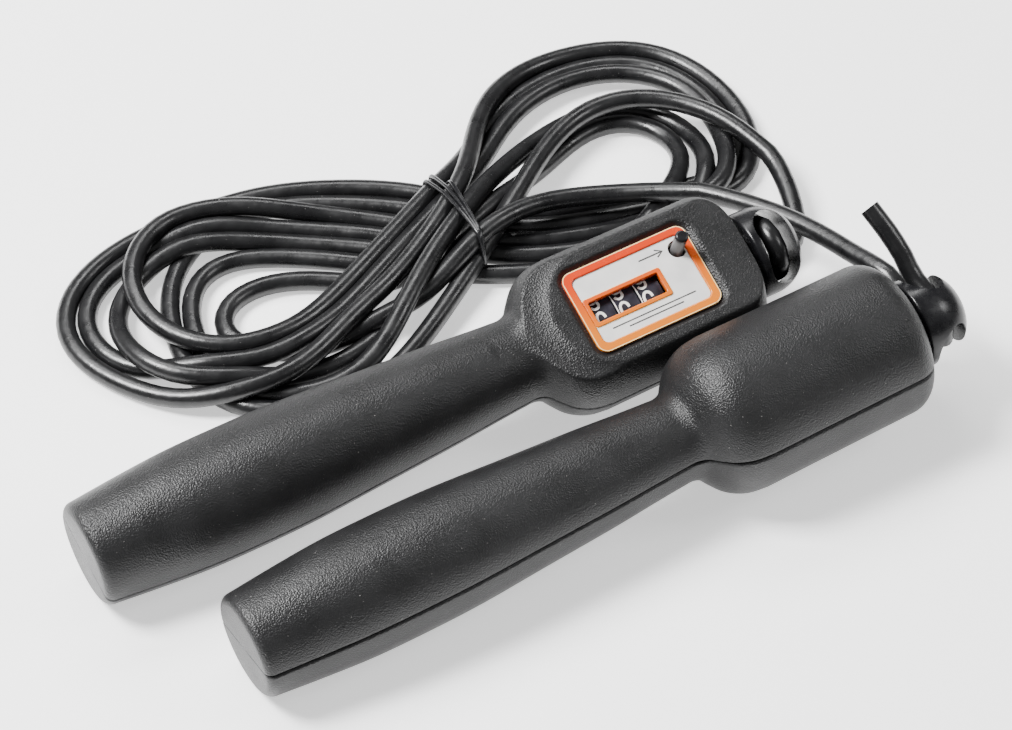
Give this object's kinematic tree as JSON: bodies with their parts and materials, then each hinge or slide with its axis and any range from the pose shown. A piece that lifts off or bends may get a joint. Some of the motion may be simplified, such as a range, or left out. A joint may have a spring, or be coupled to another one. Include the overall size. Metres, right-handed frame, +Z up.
{
  "type": "jump rope",
  "caption": "Two contoured swivel handles, one with a revolution counter and reset button, joined by a round PVC rope folded into a tied figure-eight hank.",
  "frame": {"origin": "on the table under the middle of the two handles", "axes": "+X along the handles towards their swivels, +Z up, +Y from the handles towards the hank"},
  "size_m": [0.2187, 0.1607, 0.0459],
  "materials": {
    "handle_plastic": "fine grained black",
    "knob_plastic": "glossy black",
    "rope_pvc": "satin black PVC",
    "tie_plastic": "glossy black",
    "steel": "bright",
    "amber_plastic": "glossy orange",
    "label_print": "light grey",
    "wheel_plastic": "black with light numbers",
    "nylon": "natural"
  },
  "bodies": {
    "rope": {"rope_hank": "rope_pvc", "hank_tie": "tie_plastic", "rope_lead_a": "rope_pvc", "rope_lead_b": "rope_pvc", "rope_knot_a": "rope_pvc", "rope_knot_b": "rope_pvc", "swivel_a": "knob_plastic", "swivel_b": "knob_plastic", "clip_a": "steel", "clip_b": "steel", "drive_cam": "nylon"},
    "handle_a": {"shell_top_a": "handle_plastic", "shell_bottom_a": "handle_plastic", "screw_a_1": "steel", "screw_a_2": "steel", "screw_a_3": "steel", "screw_a_4": "steel", "bush_a": "nylon", "washer_a": "steel", "counter_plate": "amber_plastic", "counter_label": "label_print", "counter_frame": "nylon", "wheel_axle": "steel", "pinion_axle": "steel", "reset_spring": "steel", "lever_pin": "steel"},
    "handle_b": {"shell_top_b": "handle_plastic", "shell_bottom_b": "handle_plastic", "screw_b_1": "steel", "screw_b_2": "steel", "screw_b_3": "steel", "screw_b_4": "steel", "bush_b": "nylon", "washer_b": "steel"},
    "wheel_units": {"wheel_units": "wheel_plastic"},
    "wheel_tens": {"wheel_tens": "wheel_plastic"},
    "wheel_hundreds": {"wheel_hundreds": "wheel_plastic"},
    "transfer_pinion_1": {"transfer_pinion_1": "nylon"},
    "transfer_pinion_2": {"transfer_pinion_2": "nylon"},
    "reset_button": {"reset_pin": "steel", "reset_bar": "nylon"},
    "count_lever": {"count_lever": "nylon"}
  },
  "joints": [
    {"name": "handle_a_spin", "type": "hinge", "parent": "rope", "child": "handle_a", "pos_m": [0.06907, 0.0198, 0.02268], "axis": [0.9987, 0, 0.0515], "continuous": true},
    {"name": "handle_b_spin", "type": "hinge", "parent": "rope", "child": "handle_b", "pos_m": [0.09183, -0.01878, 0.02281], "axis": [0.9985, 0.0202, 0.0515], "continuous": true},
    {"name": "units_turn", "type": "hinge", "parent": "handle_a", "child": "wheel_units", "pos_m": [0.03657, 0.01894, 0.02176], "axis": [0.9987, 0, 0.0515], "continuous": true},
    {"name": "tens_turn", "type": "hinge", "parent": "handle_a", "child": "wheel_tens", "pos_m": [0.03657, 0.01894, 0.02176], "axis": [0.9987, 0, 0.0515], "continuous": true},
    {"name": "hundreds_turn", "type": "hinge", "parent": "handle_a", "child": "wheel_hundreds", "pos_m": [0.03657, 0.01894, 0.02176], "axis": [0.9987, 0, 0.0515], "continuous": true},
    {"name": "pinion_1_turn", "type": "hinge", "parent": "handle_a", "child": "transfer_pinion_1", "pos_m": [0.03682, 0.02937, 0.01694], "axis": [0.9987, 0, 0.0515], "continuous": true},
    {"name": "pinion_2_turn", "type": "hinge", "parent": "handle_a", "child": "transfer_pinion_2", "pos_m": [0.03682, 0.02937, 0.01694], "axis": [0.9987, 0, 0.0515], "continuous": true},
    {"name": "reset_press", "type": "slide", "parent": "handle_a", "child": "reset_button", "axis": [0.0484, 0.342, -0.9384], "range_m": [0, 0.003], "stiffness_N_per_m": 300, "deforming": ["reset_spring"]},
    {"name": "count_lever_rock", "type": "hinge", "parent": "handle_a", "child": "count_lever", "pos_m": [0.05412, 0.01186, 0.01156], "axis": [0.9987, 0, 0.0515], "range_deg": [0, 3], "stiffness_Nm_per_rad": 0.02}
  ],
  "couplings": [
    {"joint": "units_turn", "follows": "handle_a_spin", "ratio": -0.1},
    {"joint": "tens_turn", "follows": "handle_a_spin", "ratio": -0.01},
    {"joint": "hundreds_turn", "follows": "handle_a_spin", "ratio": -0.001},
    {"joint": "pinion_2_turn", "follows": "handle_a_spin", "ratio": 0.025},
    {"joint": "pinion_1_turn", "follows": "handle_a_spin", "ratio": 0.0025}
  ]
}
